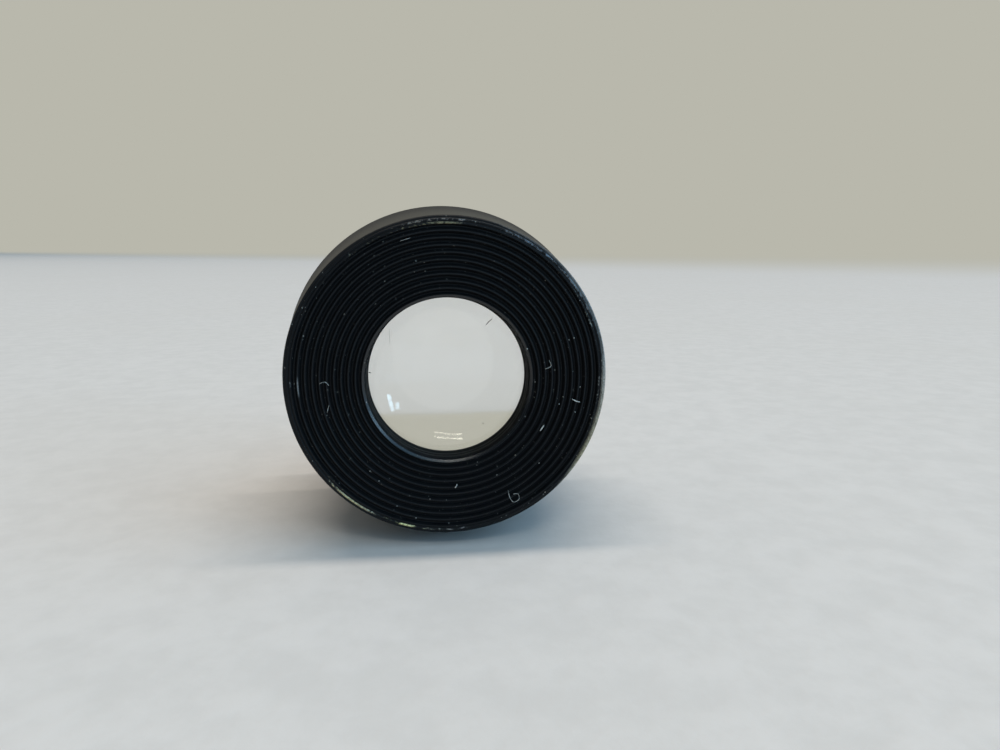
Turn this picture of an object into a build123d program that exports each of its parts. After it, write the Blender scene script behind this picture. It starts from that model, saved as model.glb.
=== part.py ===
from build123d import *
from math import sqrt
import os

# Optical sight glass: a short magnifying eyepiece that screws into an
# instrument by a male thread at its rear.  Turned brass with black lacquer,
# and two cemented lens pairs with their strong curves facing each other.
#
# Frame: millimetres, optical axis along Y, +Z up.  The origin is on the axis
# at the mounting shoulder.  The eye looks in from -Y; the spigot points to +Y.
#
# Every turned piece is a profile of (radius, y) points turned about the Y axis.
# Threads are plain cylinders at their working radius.

# ---------------------------------------------------------------- dimensions
# eye cap, outside
FACE_Y = -20.00          # plane of the ridge crests
CAP_REAR_Y = -8.85
CORNER_R = 14.86         # inner corner of the rim, where the face ends
RIM_R = 15.56            # front edge of the tapered side
RIM_BACK = 0.24          # how far the rounded rim reaches back
CAP_REAR_R = 17.00       # largest radius

# anti-glare ridges
LIP_R = 8.153            # lip of the eye opening
RIDGE_PITCH = 0.6669
RIDGES = 9
CREST_LAND = 0.12        # flat on top of each ridge
GROOVE_FLAT = 0.16       # flat at the bottom of each groove
GROOVE_DEPTH = 0.42
LAST_GROOVE_SHIFT = 0.04

# eye opening
LIP_CHAMFER_R, LIP_CHAMFER_D = 7.95, 0.17
APERTURE_R = 7.77        # at the lens seat
SEAT_Y = -17.30

# lenses
CROWN_RADIUS = 19.00     # strong outer curve of each crown
CEMENT_RADIUS = 21.20    # curve between crown and flint
FLINT_CENTRE = 1.00
CROWN_EDGE = 0.60
CEMENT = 0.01            # cement layer
EYE_EDGE_R, EYE_CURVE_R = 8.90, 8.50      # rim of the glass, end of its curve
FIELD_EDGE_R, FIELD_CURVE_R = 9.50, 9.10
VERTEX_GAP = 0.40        # between the two crowns
EDGE_CLEAR = 0.04

# retaining rings
EYE_RING_IN, EYE_RING_OUT, EYE_RING_T = 8.60, 9.80, 1.70
FIELD_RING_IN, FIELD_RING_OUT, FIELD_RING_T = 8.80, 10.40, 1.90
SLOT_W, SLOT_D = 1.30, 0.75

# joint between cap and body
NECK_R = 14.00
THREAD_CLEAR = 0.05
NECK_FRONT_Y = -16.20
THREAD_REAR_Y = -11.20   # 4.5 mm of thread, six turns of 0.75 mm
PILOT_R = 14.24
BOSS_R = 11.00           # inner boss of the cap, around the eye lens
NECK_BORE_R = 11.40
WEB_FRONT_Y = -10.60     # shoulder in front of the field lens

# body
SHOULDER_Y = -8.80
BODY_R = 16.60
SPIGOT_R = 13.50
SPIGOT_LENGTH = 6.50
REAR_BORE_R = 11.60


# ------------------------------------------------------------------- helpers
def turned(points):
    """Solid of revolution about Y from a closed (radius, y) outline."""
    return revolve(make_face(Polyline(*points, close=True)), axis=Axis.Y)


def sag(radius, r):
    return radius - sqrt(radius * radius - r * r)


def arc(radius, vertex_y, r_end, direction):
    """Meridian arc from the axis out to r_end.  direction +1 curves to +Y."""
    mid = r_end / 2
    return ThreePointArc(
        (0, vertex_y),
        (mid, vertex_y + direction * sag(radius, mid)),
        (r_end, vertex_y + direction * sag(radius, r_end)),
    )


os.makedirs("parts", exist_ok=True)


def save(shape, name):
    shape.label = name
    export_step(shape, f"parts/{name}.step")


# ---------------------------------------------------------- lens positions
eye_front = SEAT_Y + 0.02
eye_cement = eye_front + FLINT_CENTRE
eye_joint_y = eye_cement + sag(CEMENT_RADIUS, EYE_EDGE_R)
eye_land = eye_joint_y + CROWN_EDGE
eye_vertex = eye_land + sag(CROWN_RADIUS, EYE_CURVE_R)

field_vertex = eye_vertex + VERTEX_GAP
field_land = field_vertex + sag(CROWN_RADIUS, FIELD_CURVE_R)
field_joint_y = field_land + CROWN_EDGE
field_cement = field_joint_y + sag(CEMENT_RADIUS, FIELD_EDGE_R)
field_rear = field_cement + FLINT_CENTRE

# ------------------------------------------------------------------- eye cap
crests = [LIP_R + k * RIDGE_PITCH for k in range(RIDGES + 1)]
face_points = [(LIP_R, FACE_Y), (LIP_R + CREST_LAND / 2, FACE_Y)]
for k in range(1, RIDGES + 1):
    mid = (crests[k - 1] + crests[k]) / 2
    face_points += [
        (mid - GROOVE_FLAT / 2, FACE_Y + GROOVE_DEPTH),
        (mid + GROOVE_FLAT / 2, FACE_Y + GROOVE_DEPTH),
        (crests[k] - CREST_LAND / 2, FACE_Y),
        (crests[k] + CREST_LAND / 2, FACE_Y),
    ]
mid = (crests[-1] + CORNER_R) / 2 + LAST_GROOVE_SHIFT
face_points += [
    (mid - GROOVE_FLAT / 2, FACE_Y + GROOVE_DEPTH),
    (mid + GROOVE_FLAT / 2, FACE_Y + GROOVE_DEPTH),
    (CORNER_R, FACE_Y),
]
ring_pocket_y = eye_joint_y + 0.10
boss_rear = eye_land + EYE_RING_T + 0.15
cap = turned(
    face_points
    + [
        (CORNER_R + 0.36, FACE_Y + 0.06),
        (RIM_R - 0.06, FACE_Y + 0.14),
        (RIM_R, FACE_Y + RIM_BACK),
        (CAP_REAR_R - 0.03, CAP_REAR_Y - 0.30),
        (CAP_REAR_R, CAP_REAR_Y - 0.15),
        (CAP_REAR_R - 0.15, CAP_REAR_Y),
        # inside of the skirt, going forward
        (PILOT_R + 0.26, CAP_REAR_Y),
        (PILOT_R + 0.06, CAP_REAR_Y - 0.20),
        (PILOT_R + 0.06, THREAD_REAR_Y),
        (NECK_R + THREAD_CLEAR, THREAD_REAR_Y - 0.20),
        (NECK_R + THREAD_CLEAR, SEAT_Y + 0.50),
        (BOSS_R, SEAT_Y + 0.50),
        # boss around the eye lens
        (BOSS_R, boss_rear - 0.20),
        (BOSS_R - 0.20, boss_rear),
        (EYE_RING_OUT + 0.24, boss_rear),
        (EYE_RING_OUT + EDGE_CLEAR, boss_rear - 0.20),
        (EYE_RING_OUT + EDGE_CLEAR, ring_pocket_y),
        (EYE_EDGE_R + EDGE_CLEAR, ring_pocket_y),
        (EYE_EDGE_R + EDGE_CLEAR, SEAT_Y),
        (APERTURE_R, SEAT_Y),
        (LIP_CHAMFER_R, FACE_Y + LIP_CHAMFER_D),
    ]
)
save(cap, "eye_cap")

# ------------------------------------------------------------------ eye lens
save(
    revolve(
        make_face(
            [
                Polyline(
                    (0, eye_cement),
                    (0, eye_front),
                    (EYE_EDGE_R, eye_front),
                    (EYE_EDGE_R, eye_joint_y),
                ),
                arc(CEMENT_RADIUS, eye_cement, EYE_EDGE_R, 1),
            ]
        ),
        axis=Axis.Y,
    ),
    "eye_lens_flint",
)
save(
    revolve(
        make_face(
            [
                arc(CEMENT_RADIUS, eye_cement + CEMENT, EYE_EDGE_R, 1),
                Polyline(
                    (EYE_EDGE_R, eye_joint_y + CEMENT),
                    (EYE_EDGE_R, eye_land),
                    (EYE_CURVE_R, eye_land),
                ),
                arc(CROWN_RADIUS, eye_vertex, EYE_CURVE_R, -1),
                Line((0, eye_vertex), (0, eye_cement + CEMENT)),
            ]
        ),
        axis=Axis.Y,
    ),
    "eye_lens_crown",
)

# ---------------------------------------------------------------- field lens
save(
    revolve(
        make_face(
            [
                arc(CROWN_RADIUS, field_vertex, FIELD_CURVE_R, 1),
                Polyline(
                    (FIELD_CURVE_R, field_land),
                    (FIELD_EDGE_R, field_land),
                    (FIELD_EDGE_R, field_joint_y),
                ),
                arc(CEMENT_RADIUS, field_cement, FIELD_EDGE_R, -1),
                Line((0, field_cement), (0, field_vertex)),
            ]
        ),
        axis=Axis.Y,
    ),
    "field_lens_crown",
)
save(
    revolve(
        make_face(
            [
                arc(CEMENT_RADIUS, field_cement + CEMENT, FIELD_EDGE_R, -1),
                Polyline(
                    (FIELD_EDGE_R, field_joint_y + CEMENT),
                    (FIELD_EDGE_R, field_rear),
                    (0, field_rear),
                    (0, field_cement + CEMENT),
                ),
            ]
        ),
        axis=Axis.Y,
    ),
    "field_lens_flint",
)


# ----------------------------------------------------------- retaining rings
def retaining_ring(r_in, r_out, y_front, thickness):
    """Threaded ring with two spanner slots across its rear face."""
    y_rear = y_front + thickness
    ring = turned(
        [
            (r_in, y_front),
            (r_out - 0.15, y_front),
            (r_out, y_front + 0.15),
            (r_out, y_rear - 0.15),
            (r_out - 0.15, y_rear),
            (r_in + 0.30, y_rear),
            (r_in, y_rear - 0.55),
        ]
    )
    return ring - Pos(0, y_rear - SLOT_D / 2, 0) * Box(2 * r_out + 4, SLOT_D, SLOT_W)


save(
    retaining_ring(EYE_RING_IN, EYE_RING_OUT, eye_land + 0.01, EYE_RING_T),
    "eye_lens_retainer",
)
save(
    retaining_ring(FIELD_RING_IN, FIELD_RING_OUT, field_rear + 0.01, FIELD_RING_T),
    "field_lens_retainer",
)

# ----------------------------------------------------------------- body tube
field_pocket_y = field_rear - 0.15
ring_bore_rear = field_rear + FIELD_RING_T + 0.45
body = turned(
    [
        (NECK_BORE_R + 0.20, NECK_FRONT_Y),
        (NECK_R - 0.35, NECK_FRONT_Y),
        (NECK_R, NECK_FRONT_Y + 0.35),
        (NECK_R, THREAD_REAR_Y),
        (NECK_R - 0.40, THREAD_REAR_Y + 0.15),
        (NECK_R - 0.40, THREAD_REAR_Y + 0.45),
        (PILOT_R, THREAD_REAR_Y + 0.65),
        (PILOT_R, SHOULDER_Y),
        (BODY_R - 0.20, SHOULDER_Y),
        (BODY_R, SHOULDER_Y + 0.20),
        (BODY_R, -0.30),
        (BODY_R - 0.30, 0.0),
        (SPIGOT_R, 0.0),
        (SPIGOT_R, SPIGOT_LENGTH - 0.50),
        (SPIGOT_R - 0.50, SPIGOT_LENGTH),
        (REAR_BORE_R + 0.25, SPIGOT_LENGTH),
        (REAR_BORE_R, SPIGOT_LENGTH - 0.25),
        (REAR_BORE_R, ring_bore_rear + 0.60),
        (FIELD_RING_OUT + EDGE_CLEAR, ring_bore_rear),
        (FIELD_RING_OUT + EDGE_CLEAR, field_pocket_y),
        (FIELD_EDGE_R + EDGE_CLEAR, field_pocket_y),
        (FIELD_EDGE_R + EDGE_CLEAR, field_land - 0.01),
        (FIELD_CURVE_R + 0.05, field_land - 0.01),
        (FIELD_CURVE_R + 0.05, WEB_FRONT_Y + 0.25),
        (FIELD_CURVE_R + 0.30, WEB_FRONT_Y),
        (NECK_BORE_R, WEB_FRONT_Y),
        (NECK_BORE_R, NECK_FRONT_Y + 0.20),
    ]
)
save(body, "body_tube")

for label, value in (
    ("eye lens vertex", eye_vertex),
    ("field lens vertex", field_vertex),
    ("field lens rear", field_rear),
    ("cap boss rear", boss_rear),
    ("field ring rear", field_rear + 0.01 + FIELD_RING_T),
):
    print(label, round(value, 3))
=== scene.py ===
import math

import bmesh
import bpy
import numpy as np
from mathutils import Matrix, Quaternion, Vector


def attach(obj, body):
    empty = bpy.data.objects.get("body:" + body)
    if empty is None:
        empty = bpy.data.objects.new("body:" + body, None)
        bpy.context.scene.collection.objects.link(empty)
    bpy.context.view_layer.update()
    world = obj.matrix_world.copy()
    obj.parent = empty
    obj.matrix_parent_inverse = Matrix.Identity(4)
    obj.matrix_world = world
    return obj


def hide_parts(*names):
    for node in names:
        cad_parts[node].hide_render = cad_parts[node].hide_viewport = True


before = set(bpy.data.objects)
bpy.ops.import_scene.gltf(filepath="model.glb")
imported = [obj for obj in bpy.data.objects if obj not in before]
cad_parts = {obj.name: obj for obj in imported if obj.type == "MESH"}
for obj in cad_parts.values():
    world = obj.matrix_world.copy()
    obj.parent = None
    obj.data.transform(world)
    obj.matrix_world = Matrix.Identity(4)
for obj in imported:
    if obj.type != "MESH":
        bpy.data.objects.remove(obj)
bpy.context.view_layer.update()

MM = 0.001
scene = bpy.context.scene
scene.view_settings.view_transform = "Standard"
scene.view_settings.look = "None"

# ------------------------------------------------------------ dimensions (mm)
FACE_Y, CAP_REAR_Y = -20.00, -8.85
CORNER_R, RIM_R, RIM_BACK, CAP_REAR_R = 14.86, 15.56, 0.24, 17.00
BEAD_R = 15.16
LIP_R, RIDGE_PITCH, RIDGES = 8.153, 0.6669, 9
CREST_LAND, GROOVE_FLAT, GROOVE_DEPTH, LAST_GROOVE_SHIFT = 0.12, 0.16, 0.42, 0.04
LIP_CHAMFER_R, LIP_CHAMFER_D, APERTURE_R, SEAT_Y = 7.95, 0.17, 7.77, -17.30
CROWN_RADIUS, CEMENT_RADIUS, FLINT_CENTRE, CROWN_EDGE = 19.00, 21.20, 1.00, 0.60
EYE_EDGE_R, EYE_CURVE_R, FIELD_EDGE_R, FIELD_CURVE_R = 8.90, 8.50, 9.50, 9.10
VERTEX_GAP, EDGE_CLEAR = 0.40, 0.04
EYE_RING = (8.60, 9.80, 1.70)
FIELD_RING = (8.80, 10.40, 1.90)
SLOT_W, SLOT_D = 1.30, 0.75
NECK_R, THREAD_CLEAR, NECK_FRONT_Y, THREAD_REAR_Y = 14.00, 0.05, -16.20, -11.20
PILOT_R, BOSS_R, NECK_BORE_R, WEB_FRONT_Y = 14.24, 11.00, 11.40, -10.60
SHOULDER_Y, BODY_R, SPIGOT_R, SPIGOT_LENGTH, REAR_BORE_R = -8.80, 16.60, 13.50, 6.50, 11.60
THREAD_PITCH = 0.75
FLINT_INDEX, CROWN_INDEX = 1.62, 1.517
FLOOR_Z = -17.0


def sag(radius, r):
    return radius - math.sqrt(radius * radius - r * r)


eye_front = SEAT_Y + 0.02
eye_cement = eye_front + FLINT_CENTRE
eye_joint_y = eye_cement + sag(CEMENT_RADIUS, EYE_EDGE_R)
eye_land = eye_joint_y + CROWN_EDGE
eye_vertex = eye_land + sag(CROWN_RADIUS, EYE_CURVE_R)
field_vertex = eye_vertex + VERTEX_GAP
field_land = field_vertex + sag(CROWN_RADIUS, FIELD_CURVE_R)
field_joint_y = field_land + CROWN_EDGE
field_cement = field_joint_y + sag(CEMENT_RADIUS, FIELD_EDGE_R)
field_rear = field_cement + FLINT_CENTRE


# ------------------------------------------------------------------ node tools
class Nodes:
    """Short-hand for building a shader tree."""

    def __init__(self, owner):
        self.t = owner.node_tree
        self.t.nodes.clear()

    def new(self, kind, **props):
        n = self.t.nodes.new(kind)
        for k, v in props.items():
            setattr(n, k, v)
        return n

    def put(self, socket, v):
        if isinstance(v, bpy.types.NodeSocket):
            self.t.links.new(v, socket)
        elif v is not None:
            socket.default_value = v

    def math(self, op, a, b=None, c=None, clamp=False):
        n = self.new("ShaderNodeMath", operation=op, use_clamp=clamp)
        for i, v in enumerate((a, b, c)):
            self.put(n.inputs[i], v)
        return n.outputs[0]

    def vmath(self, op, a, b=None, scale=None):
        n = self.new("ShaderNodeVectorMath", operation=op)
        self.put(n.inputs[0], a)
        if b is not None:
            self.put(n.inputs[1], b)
        if scale is not None:
            self.put(n.inputs["Scale"], scale)
        return n.outputs["Value"] if op in ("LENGTH", "DOT_PRODUCT", "DISTANCE") else n.outputs[0]

    def smooth(self, v, lo, hi, a=0.0, b=1.0):
        n = self.new("ShaderNodeMapRange", interpolation_type="SMOOTHSTEP")
        self.put(n.inputs["Value"], v)
        for k, x in (("From Min", lo), ("From Max", hi), ("To Min", a), ("To Max", b)):
            self.put(n.inputs[k], x)
        return n.outputs["Result"]

    def noise(self, vec, scale, detail=4.0, rough=0.55, distortion=0.0):
        n = self.new("ShaderNodeTexNoise")
        self.put(n.inputs["Vector"], vec)
        self.put(n.inputs["Scale"], scale)
        self.put(n.inputs["Detail"], detail)
        self.put(n.inputs["Roughness"], rough)
        self.put(n.inputs["Distortion"], distortion)
        return n.outputs["Fac"] if "Fac" in n.outputs else n.outputs[0]

    def voronoi(self, vec, scale, feature="F1"):
        n = self.new("ShaderNodeTexVoronoi", feature=feature)
        self.put(n.inputs["Vector"], vec)
        self.put(n.inputs["Scale"], scale)
        return n

    def ramp(self, fac, stops, interpolation="LINEAR"):
        n = self.new("ShaderNodeValToRGB")
        r = n.color_ramp
        r.interpolation = interpolation
        while len(r.elements) > 1:
            r.elements.remove(r.elements[-1])
        for i, (pos, col) in enumerate(stops):
            e = r.elements[0] if i == 0 else r.elements.new(pos)
            e.position = pos
            col = (col, col, col) if isinstance(col, (int, float)) else col
            e.color = (*col, 1.0)
        self.put(n.inputs["Fac"], fac)
        return n.outputs["Color"]

    def mix(self, fac, a, b):
        n = self.new("ShaderNodeMix", data_type="RGBA")
        self.put(n.inputs[0], fac)
        for socket, v in ((n.inputs[6], a), (n.inputs[7], b)):
            self.put(socket, (*v, 1.0) if isinstance(v, tuple) else v)
        return n.outputs[2]

    def mixf(self, fac, a, b):
        n = self.new("ShaderNodeMix", data_type="FLOAT")
        self.put(n.inputs[0], fac)
        self.put(n.inputs[2], a)
        self.put(n.inputs[3], b)
        return n.outputs[0]

    def bump(self, height, strength, distance):
        n = self.new("ShaderNodeBump")
        self.put(n.inputs["Strength"], strength)
        self.put(n.inputs["Distance"], distance)
        self.put(n.inputs["Height"], height)
        return n.outputs["Normal"]

    def principled(self, **sockets):
        n = self.new("ShaderNodeBsdfPrincipled")
        for k, v in sockets.items():
            self.put(n.inputs[k.replace("_", " ")], v)
        return n

    def output(self, shader, kind="ShaderNodeOutputMaterial"):
        n = self.new(kind)
        self.t.links.new(shader, n.inputs["Surface"])

    def millimetres(self):
        """Object coordinates in millimetres, with radius, angle share (0 to 1, 0.5 on +X) and y."""
        tc = self.new("ShaderNodeTexCoord")
        p = self.vmath("SCALE", tc.outputs["Object"], scale=1000.0)
        sep = self.new("ShaderNodeSeparateXYZ")
        self.put(sep.inputs[0], p)
        flat = self.vmath("MULTIPLY", p, (1.0, 0.0, 1.0))
        radius = self.vmath("LENGTH", flat)
        angle = self.math("ARCTAN2", sep.outputs["Z"], sep.outputs["X"])
        share = self.math("MULTIPLY_ADD", angle, 1 / (2 * math.pi), 0.5)
        return p, radius, share, sep.outputs["Y"]


def material(name):
    m = bpy.data.materials.new(name)
    m.use_nodes = True
    return m, Nodes(m)


def share_of(degrees):
    """Angle share of a direction given counter-clockwise from +X, seen from the eye."""
    d = (degrees + 180) % 360 - 180
    return d / 360 + 0.5


def angle_stops(stops):
    """[(degrees, value)] to sorted ramp stops on the angle share."""
    return sorted((share_of(a), v) for a, v in stops)


# ---------------------------------------------------------------- mesh tools
def filleted(points, steps=4):
    """Closed (r, y[, fillet]) outline with each named corner rounded."""
    out = []
    n = len(points)
    for i, p in enumerate(points):
        if len(p) < 3 or p[2] <= 0:
            out.append((p[0], p[1]))
            continue
        a, b, c = (np.array(points[j % n][:2], float) for j in (i - 1, i, i + 1))
        u, v = a - b, c - b
        lu, lv = np.linalg.norm(u), np.linalg.norm(v)
        u, v = u / lu, v / lv
        half = math.acos(max(-1, min(1, float(u @ v)))) / 2
        if abs(math.pi / 2 - half) < 0.02:
            out.append((p[0], p[1]))
            continue
        cut = min(p[2] / math.tan(half), 0.45 * lu, 0.45 * lv)
        radius = cut * math.tan(half)
        bis = (u + v) / np.linalg.norm(u + v)
        centre = b + bis * radius / math.sin(half)
        s, e = b + u * cut - centre, b + v * cut - centre
        total = math.acos(max(-1, min(1, float(s @ e) / (np.linalg.norm(s) * np.linalg.norm(e)))))
        sign = 1 if s[0] * e[1] - s[1] * e[0] > 0 else -1
        for k in range(steps + 1):
            t = sign * total * k / steps
            q = centre + np.array([s[0] * math.cos(t) - s[1] * math.sin(t), s[0] * math.sin(t) + s[1] * math.cos(t)])
            out.append((float(q[0]), float(q[1])))
    return out


def lathe(name, points, segs=256, materials=(), material_of=None, radius_at=None, sharp=32, closed=True):
    """Turns a closed (r, y) outline about the Y axis. radius_at(r, y, angle) may reshape it."""
    n = len(points)
    ang = np.arange(segs) * 2 * math.pi / segs
    verts, index = [], []
    for r, y in points:
        if r < 1e-9:
            index.append([len(verts)] * segs)
            verts.append((0.0, y * MM, 0.0))
            continue
        row = []
        for a in ang:
            rr = radius_at(r, y, a) if radius_at else r
            row.append(len(verts))
            verts.append((rr * math.cos(a) * MM, y * MM, rr * math.sin(a) * MM))
        index.append(row)
    faces, slots = [], []
    for i in range(n if closed else n - 1):
        p, q = index[i], index[(i + 1) % n]
        if points[i][0] < 1e-9 and points[(i + 1) % n][0] < 1e-9:
            continue
        for k in range(segs):
            m = (k + 1) % segs
            f = []
            for v in (p[k], p[m], q[m], q[k]):
                if v not in f:
                    f.append(v)
            faces.append(f)
            slots.append(material_of(i) if material_of else 0)
    me = bpy.data.meshes.new(name)
    me.from_pydata(verts, [], faces)
    me.polygons.foreach_set("material_index", slots)
    for m in materials:
        me.materials.append(m)
    bm = bmesh.new()
    bm.from_mesh(me)
    bmesh.ops.recalc_face_normals(bm, faces=bm.faces)
    bm.to_mesh(me)
    bm.free()
    me.shade_smooth()
    me.set_sharp_from_angle(angle=math.radians(sharp))
    o = bpy.data.objects.new(name, me)
    scene.collection.objects.link(o)
    return o


def thread_rows(y0, y1, per_pitch=14):
    count = max(2, int(round((y1 - y0) / THREAD_PITCH * per_pitch)))
    return [y0 + (y1 - y0) * k / count for k in range(count + 1)]


def thread_shape(y, angle, y0, y1, depth):
    """How far the flank lies below the crest: a rounded 60 degree thread that runs out at its ends."""
    phase = ((y - y0) / THREAD_PITCH - angle / (2 * math.pi)) % 1.0
    tri = abs(phase - 0.5) * 2
    flank = min(1.0, max(0.0, (tri - 0.12) / 0.70))
    flank = flank * flank * (3 - 2 * flank) * 0.35 + flank * 0.65
    fade = min(1.0, max(0.0, (y - y0) / 0.45), 1.0) * min(1.0, max(0.0, (y1 - y) / 0.45))
    return depth * flank * fade


# ------------------------------------------------------------------ materials
def lacquer(name, kind, specular=0.15):
    """Black lacquer over turned brass. kind picks where it is worn: cap, body or ring. On the cap it also carries
    painted shade in the ridge grooves, painted highlight and reflection on the crests and rim, and a painted sheen on
    the side.
    """
    m, n = material(name)
    p, radius, share, y = n.millimetres()
    broad = n.noise(p, 0.35, 3.0)
    fine = n.noise(p, 5.5, 5.0, 0.6)
    grit = n.noise(p, 26.0, 3.0, 0.6)
    arc = n.math("MULTIPLY", share, 94.0)
    along = n.noise(n.vector(n.math("MULTIPLY", arc, 0.9), n.math("MULTIPLY", radius, 2.2), n.math("MULTIPLY", y, 1.2)), 1.0, 5.0, 0.66)
    broken = n.noise(n.vector(n.math("MULTIPLY", arc, 3.4), n.math("MULTIPLY", radius, 4.0), n.math("MULTIPLY", y, 2.0)), 1.0, 3.0, 0.6)

    base = n.mix(n.smooth(broad, 0.3, 0.7), (0.0036, 0.0045, 0.0056), (0.0056, 0.0066, 0.0078))
    dusty = n.math("MULTIPLY", n.smooth(fine, 0.52, 0.78), 0.40)
    base = n.mix(dusty, base, (0.0115, 0.0120, 0.0120))
    rough = n.math("MULTIPLY_ADD", fine, 0.20, 0.36)

    # settled dust: pale specks of uneven size and strength, laid over the plane of the face
    parts = n.new("ShaderNodeSeparateXYZ")
    n.put(parts.inputs[0], p)
    flat = n.vector(parts.outputs["X"], parts.outputs["Z"], n.math("MULTIPLY", parts.outputs["Y"], 0.0 if kind == "cap" else 1.0))
    dust = None
    for scale, lo, largest, strength in ((1.05, 0.58, 0.085, 1.0), (2.9, 0.70, 0.125, 0.60)):
        cells = n.voronoi(flat, scale)
        if kind == "cap":
            cells.voronoi_dimensions = "2D"
        channels = n.new("ShaderNodeSeparateColor")
        n.put(channels.inputs[0], cells.outputs["Color"])
        size = n.smooth(channels.outputs[0], lo, 1.0, 0.0, largest)
        level = n.math("MULTIPLY", n.math("POWER", channels.outputs[1], 2.4), strength)
        layer = n.math("MULTIPLY", n.math("LESS_THAN", cells.outputs["Distance"], size), n.math("ADD", level, 0.16 * strength, clamp=True))
        dust = layer if dust is None else n.math("MAXIMUM", dust, layer)
    dust = n.math("MULTIPLY", dust, n.smooth(n.noise(p, 0.42, 3.0), 0.40, 0.58, 0.15, 1.0))
    if kind == "cap":
        dust = n.math("MULTIPLY", dust, n.smooth(y, FACE_Y + 0.5, FACE_Y + 0.7, 1.0, 0.0))
    base = n.mix(dust, base, n.mix(broad, (0.42, 0.43, 0.42), (0.40, 0.37, 0.30)))
    rough = n.mixf(dust, rough, 0.9)

    # handling: greasy smears, fine scuffs round the turned sides and a few short scratches across them
    smear = n.smooth(n.noise(n.vmath("MULTIPLY", p, (0.34, 0.5, 0.34)), 1.0, 4.0, 0.62, 0.8), 0.42, 0.66)
    rough = n.math("ADD", rough, n.math("MULTIPLY_ADD", smear, 0.16, -0.05))
    turned = n.smooth(radius, NECK_R + 0.6, NECK_R + 1.0)
    round_marks = n.noise(n.vector(n.math("MULTIPLY", arc, 0.16), 0.0, n.math("MULTIPLY", y, 7.5)), 1.0, 5.0, 0.7)
    scuff = n.math("MULTIPLY", n.smooth(round_marks, 0.54, 0.68), n.smooth(n.noise(p, 0.55, 3.0), 0.42, 0.60))
    bend = n.noise(p, 0.8, 2.0)
    across = n.noise(n.vector(n.math("MULTIPLY_ADD", y, 1.6, n.math("MULTIPLY", arc, 5.5)), n.math("MULTIPLY", bend, 3.0), n.math("MULTIPLY", y, 0.30)), 1.0, 2.0, 0.5)
    scratch = n.math("MULTIPLY", n.smooth(n.math("ABSOLUTE", n.math("SUBTRACT", across, 0.5)), 0.0, 0.014, 1.0, 0.0), n.smooth(n.noise(p, 0.9, 2.0), 0.52, 0.60))
    marks = n.math("MULTIPLY", n.math("MAXIMUM", n.math("MULTIPLY", scuff, 0.55), scratch), turned)
    if kind == "cap":
        marks = n.math("MULTIPLY", marks, n.smooth(y, FACE_Y + 0.5, FACE_Y + 1.2))
    base = n.mix(n.math("MULTIPLY", marks, 0.80), base, (0.040, 0.040, 0.036))
    rough = n.mixf(n.math("MULTIPLY", marks, 0.6), rough, 0.62)

    wear_noise = n.noise(p, 2.3, 6.0, 0.68, 0.35)
    streaks = n.noise(n.vmath("MULTIPLY", p, (1.0, 3.0, 1.0)), 7.0, 4.0, 0.6)
    chips = n.math("MULTIPLY_ADD", along, 0.62, n.math("MULTIPLY", broken, 0.58))
    if kind == "cap":
        # three rings of the rim are rubbed through in places: the corner of the face, the bead and the outer edge
        front = n.smooth(y, FACE_Y + 0.10, FACE_Y + 0.2, 1.0, 0.0)
        wobble = n.math("MULTIPLY_ADD", broken, 0.12, n.math("ADD", radius, -0.06))
        corner_w = n.ramp(share, angle_stops([
            (-180, .56), (-172, .50), (-150, .50), (-140, .54), (-126, .50), (-114, .42), (-84, .46), (-60, .34), (-36, .38),
            (-18, .52), (0, .56), (8, .48), (24, .62), (36, .56), (48, .50), (66, .44), (80, .48), (86, .60),
            (90, .70), (97, .62), (103, .66), (110, .58), (117, .52), (127, .52), (136, .36), (172, .32), (179.9, .54)]))
        corner = n.math("MULTIPLY", n.smooth(wobble, CORNER_R - 0.15, CORNER_R - 0.07), n.smooth(wobble, CORNER_R + 0.05, CORNER_R + 0.11, 1.0, 0.0))
        corner = n.math("MULTIPLY", n.math("MULTIPLY", corner, front), n.smooth(n.math("ADD", corner_w, chips), 1.19, 1.36))
        bead_w = n.ramp(share, angle_stops([
            (-180, .28), (-152, .54), (-144, .48), (-139, .62), (-133, .80), (-125, .78), (-117, .60),
            (-110, .58), (-108, .86), (-105, .72), (-102, .50), (-97, .68), (-90, .62), (-83, .60), (-79, .40), (-60, .40), (-44, .44),
            (10, .40), (24, .60), (33, .66), (60, .70), (66, .66), (72, .50), (80, .54), (86, .64), (96, .66), (102, .62),
            (109, .48), (116, .36), (130, .28), (179.9, .28)]))
        bead = n.math("MULTIPLY", n.smooth(wobble, BEAD_R - 0.13, BEAD_R - 0.05), n.smooth(wobble, BEAD_R + 0.06, BEAD_R + 0.13, 1.0, 0.0))
        bead = n.math("MULTIPLY", n.math("MULTIPLY", bead, front), n.smooth(n.math("ADD", bead_w, chips), 1.20, 1.38))
        # on the right the rubbing spreads from the outer edge inwards
        reach = n.ramp(share, angle_stops([
            (-180, 0.0), (-60, 0.0), (-48, .12), (-41, .50), (-36, .80), (-30, 1.0), (-12, 1.0), (0, .95), (6, .80), (12, .60),
            (18, .60), (30, .66), (36, .58), (44, .46), (56, .36), (66, .28), (74, .08), (80, 0.0), (179.9, 0.0)]))
        spread = n.math("ADD", radius, n.math("MULTIPLY", reach, 0.50))
        spread = n.math("ADD", spread, n.math("MULTIPLY_ADD", chips, 0.34, -0.20))
        edge = n.math("MULTIPLY", n.smooth(spread, RIM_R - 0.06, RIM_R + 0.14), n.smooth(n.math("MULTIPLY_ADD", chips, -0.9, y), FACE_Y - 0.02, FACE_Y + 0.10, 1.0, 0.0))
        edge = n.math("MULTIPLY", edge, n.smooth(reach, 0.0, 0.22))
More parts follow.
